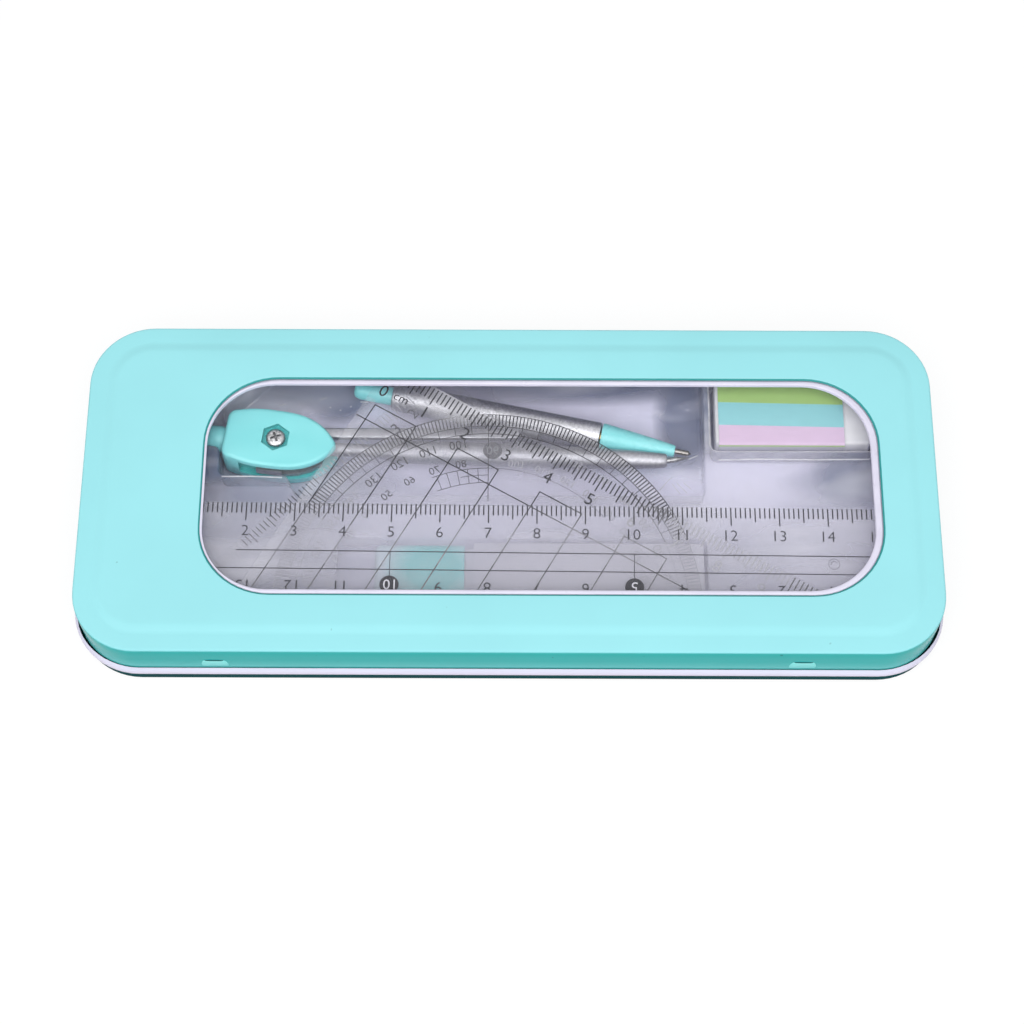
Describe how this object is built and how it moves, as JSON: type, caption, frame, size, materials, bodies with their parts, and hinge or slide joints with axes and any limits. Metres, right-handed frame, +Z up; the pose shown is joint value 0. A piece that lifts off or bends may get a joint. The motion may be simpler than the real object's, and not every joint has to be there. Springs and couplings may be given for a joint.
{
  "type": "drafting instrument case",
  "caption": "Hinged mint tin with a windowed lid, holding a compass with push-button pencil, ruler, set squares, protractor, eraser and lead case in a clear tray.",
  "frame": {"origin": "middle of the footprint on the table the case lies on", "axes": "+X to the right along the case, +Y to the hinge at the back, +Z up through the lid"},
  "size_m": [0.1792, 0.0772, 0.015],
  "materials": {
    "base_paint": "gloss mint lacquer on tinplate",
    "pin_steel": "drawn wire",
    "lid_paint": "gloss mint lacquer on tinplate",
    "bezel_white": "white lacquer on tinplate",
    "pane_clear": "clear sheet",
    "tray_clear": "clear formed sheet",
    "ruler_clear": "clear moulded plastic with printed scale",
    "square_clear": "clear moulded plastic with printed scale",
    "protractor_clear": "clear moulded plastic with printed scale",
    "head_mint": "moulded plastic",
    "screw_steel": "plated",
    "leg_silver": "satin silver coat",
    "arm_silver": "satin silver coat",
    "barrel_silver": "satin silver coat",
    "cone_mint": "moulded plastic",
    "tip_steel": "polished",
    "chuck_brass": "turned",
    "spring_steel": "drawn wire",
    "tube_white": "moulded plastic",
    "button_mint": "moulded plastic",
    "graphite": "polymer graphite lead",
    "eraser_rubber": "white soft vinyl",
    "sleeve_card": "printed card with stripes",
    "lead_case_clear": "clear moulded plastic",
    "cap_mint": "moulded plastic"
  },
  "bodies": {
    "case_base": {"base_pan": "base_paint", "hinge_pin_left": "pin_steel", "hinge_pin_right": "pin_steel", "insert_tray": "tray_clear", "ruler": "ruler_clear", "set_square_45": "square_clear", "set_square_30_60": "square_clear", "protractor": "protractor_clear", "compass_head": "head_mint", "compass_handle": "head_mint", "pivot_screw": "screw_steel", "pivot_nut": "screw_steel", "eraser_block": "eraser_rubber", "lead_case_body": "lead_case_clear", "spare_lead_1": "graphite", "spare_lead_2": "graphite", "spare_lead_3": "graphite"},
    "lid": {"lid_shell": "lid_paint", "window_bezel": "bezel_white", "window_pane": "pane_clear"},
    "needle_leg": {"needle_leg": "leg_silver", "compass_needle": "tip_steel"},
    "pencil_leg": {"pencil_arm": "arm_silver", "pencil_barrel": "barrel_silver", "pencil_cone": "cone_mint", "pencil_tip_sleeve": "tip_steel", "clutch_ring": "chuck_brass", "pencil_spring": "spring_steel"},
    "push_button": {"push_button": "button_mint", "lead_tube": "tube_white", "lead_chuck": "chuck_brass", "pencil_lead": "graphite"},
    "eraser_sleeve": {"eraser_sleeve": "sleeve_card"},
    "lead_case_cap": {"lead_case_cap": "cap_mint"}
  },
  "joints": [
    {"name": "lid_hinge", "type": "hinge", "parent": "case_base", "child": "lid", "pos_m": [0, 0.0371, 0.0033], "axis": [-1, 0, 0], "range_deg": [0, 105]},
    {"name": "needle_leg_hinge", "type": "hinge", "parent": "case_base", "child": "needle_leg", "pos_m": [-0.0494, 0.0124, 0.0057], "axis": [0, 0, -1], "range_deg": [0, 4.5]},
    {"name": "pencil_leg_hinge", "type": "hinge", "parent": "case_base", "child": "pencil_leg", "pos_m": [-0.0494, 0.0124, 0.0057], "axis": [0, 0, 1], "range_deg": [0, 10]},
    {"name": "push_button_slide", "type": "slide", "parent": "pencil_leg", "child": "push_button", "axis": [0.9781, -0.2079, 0], "range_m": [0, 0.002], "stiffness_N_per_m": 400, "springref_m": -0.002, "deforming": ["pencil_spring"]},
    {"name": "eraser_sleeve_slide", "type": "slide", "parent": "case_base", "child": "eraser_sleeve", "axis": [1, 0, 0], "range_m": [0, 0.005]},
    {"name": "lead_cap_slide", "type": "slide", "parent": "case_base", "child": "lead_case_cap", "axis": [-1, 0, 0], "range_m": [0, 0.0065]}
  ]
}
